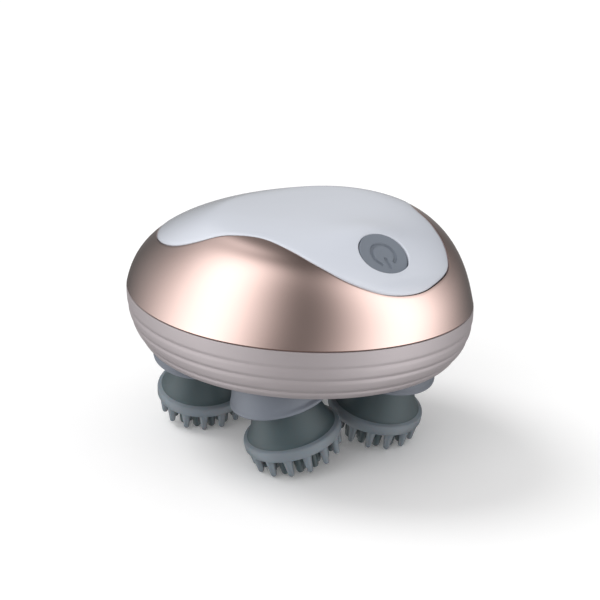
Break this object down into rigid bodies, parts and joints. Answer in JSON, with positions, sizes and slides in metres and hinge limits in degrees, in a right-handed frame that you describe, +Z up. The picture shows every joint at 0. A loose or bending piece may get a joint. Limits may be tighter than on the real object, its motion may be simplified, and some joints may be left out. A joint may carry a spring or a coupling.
{
  "type": "electric scalp massager",
  "caption": "Hand-held electric scalp massager: domed two-part body with a top power button over four tilted, motor-driven silicone massage heads.",
  "frame": {"origin": "on the floor under the middle of the body, at the height of the lowest prongs", "axes": "+X along the length to the power button end, +Y across, +Z up"},
  "size_m": [0.115, 0.0918, 0.0709],
  "materials": {
    "rose_gold_shell": "satin metallic",
    "gloss_cover": "high gloss",
    "silver_base": "satin metallic",
    "seam_gasket": "matt",
    "button_grey": "satin",
    "disc_grey": "satin",
    "silicone_head": "satin silicone",
    "gear_resin": "moulded",
    "black_plastic": "moulded",
    "steel": "turned",
    "gold_contact": "plated",
    "circuit_board": "solder mask",
    "battery_wrap": "heat-shrunk film",
    "seal_rubber": "matt"
  },
  "bodies": {
    "housing": {"upper_shell": "rose_gold_shell", "top_cover": "gloss_cover", "lower_shell": "silver_base", "seam_gasket": "seam_gasket", "button_switch": "black_plastic", "switch_board": "circuit_board", "main_board": "circuit_board", "gear_deck": "black_plastic", "motor": "steel", "motor_clamp": "black_plastic", "sun_axle": "steel", "idler_axle": "steel", "battery": "battery_wrap", "charge_contact_block": "black_plastic", "charge_contact_left": "gold_contact", "charge_contact_right": "gold_contact", "case_screw_left": "steel", "case_screw_right": "steel", "deck_screw_front": "steel", "deck_screw_rear": "steel", "shaft_seal_front_right": "seal_rubber", "shaft_seal_front_left": "seal_rubber", "shaft_seal_rear_right": "seal_rubber", "shaft_seal_rear_left": "seal_rubber"},
    "button": {"power_button": "button_grey"},
    "sun": {"sun_gear": "gear_resin"},
    "idler": {"idler_gear": "gear_resin"},
    "pinion": {"motor_pinion": "gear_resin"},
    "disc_front_right": {"wedge_disc_front_right": "disc_grey", "output_gear_front_right": "gear_resin", "head_pin_front_right": "steel", "shaft_clip_front_right": "steel"},
    "head_front_right": {"massage_head_front_right": "silicone_head", "head_hub_front_right": "disc_grey"},
    "disc_front_left": {"wedge_disc_front_left": "disc_grey", "output_gear_front_left": "gear_resin", "head_pin_front_left": "steel", "shaft_clip_front_left": "steel"},
    "head_front_left": {"massage_head_front_left": "silicone_head", "head_hub_front_left": "disc_grey"},
    "disc_rear_right": {"wedge_disc_rear_right": "disc_grey", "output_gear_rear_right": "gear_resin", "head_pin_rear_right": "steel", "shaft_clip_rear_right": "steel"},
    "head_rear_right": {"massage_head_rear_right": "silicone_head", "head_hub_rear_right": "disc_grey"},
    "disc_rear_left": {"wedge_disc_rear_left": "disc_grey", "output_gear_rear_left": "gear_resin", "head_pin_rear_left": "steel", "shaft_clip_rear_left": "steel"},
    "head_rear_left": {"massage_head_rear_left": "silicone_head", "head_hub_rear_left": "disc_grey"}
  },
  "joints": [
    {"name": "power_button_press", "type": "slide", "parent": "housing", "child": "button", "axis": [-0.4025, 0, -0.9154], "range_m": [0, 0.0008], "stiffness_N_per_m": 900},
    {"name": "sun_spin", "type": "hinge", "parent": "housing", "child": "sun", "pos_m": [0, 0, 0.033], "axis": [0, 0, 1], "continuous": true},
    {"name": "idler_spin", "type": "hinge", "parent": "housing", "child": "idler", "pos_m": [-0.02101, 0, 0.035], "axis": [0, 0, 1], "continuous": true},
    {"name": "pinion_spin", "type": "hinge", "parent": "housing", "child": "pinion", "pos_m": [-0.00485, 0, 0.038], "axis": [0, 0, 1], "continuous": true},
    {"name": "disc_spin_front_right", "type": "hinge", "parent": "housing", "child": "disc_front_right", "pos_m": [0.0211, -0.0176, 0.027], "axis": [0, 0, 1], "continuous": true},
    {"name": "head_spin_front_right", "type": "hinge", "parent": "disc_front_right", "child": "head_front_right", "pos_m": [0.0211, -0.0176, 0.02158], "axis": [-0.0226, -0.2578, 0.9659], "continuous": true},
    {"name": "disc_spin_front_left", "type": "hinge", "parent": "housing", "child": "disc_front_left", "pos_m": [0.0211, 0.0176, 0.027], "axis": [0, 0, 1], "continuous": true},
    {"name": "head_spin_front_left", "type": "hinge", "parent": "disc_front_left", "child": "head_front_left", "pos_m": [0.0211, 0.0176, 0.02158], "axis": [0.2532, 0.0538, 0.9659], "continuous": true},
    {"name": "disc_spin_rear_right", "type": "hinge", "parent": "housing", "child": "disc_rear_right", "pos_m": [-0.0211, -0.0176, 0.027], "axis": [0, 0, 1], "continuous": true},
    {"name": "head_spin_rear_right", "type": "hinge", "parent": "disc_rear_right", "child": "head_rear_right", "pos_m": [-0.0211, -0.0176, 0.02158], "axis": [0.2195, -0.1372, 0.9659], "continuous": true},
    {"name": "disc_spin_rear_left", "type": "hinge", "parent": "housing", "child": "disc_rear_left", "pos_m": [-0.0211, 0.0176, 0.027], "axis": [0, 0, 1], "continuous": true},
    {"name": "head_spin_rear_left", "type": "hinge", "parent": "disc_rear_left", "child": "head_rear_left", "pos_m": [-0.0211, 0.0176, 0.02158], "axis": [-0.1294, 0.2241, 0.9659], "continuous": true}
  ],
  "couplings": [
    {"joint": "idler_spin", "follows": "sun_spin", "ratio": -3.3333},
    {"joint": "pinion_spin", "follows": "sun_spin", "ratio": 10},
    {"joint": "disc_spin_front_right", "follows": "sun_spin", "ratio": -1.4286},
    {"joint": "disc_spin_front_left", "follows": "sun_spin", "ratio": -1.4286},
    {"joint": "disc_spin_rear_right", "follows": "sun_spin", "ratio": -1.4286},
    {"joint": "disc_spin_rear_left", "follows": "sun_spin", "ratio": -1.4286}
  ]
}
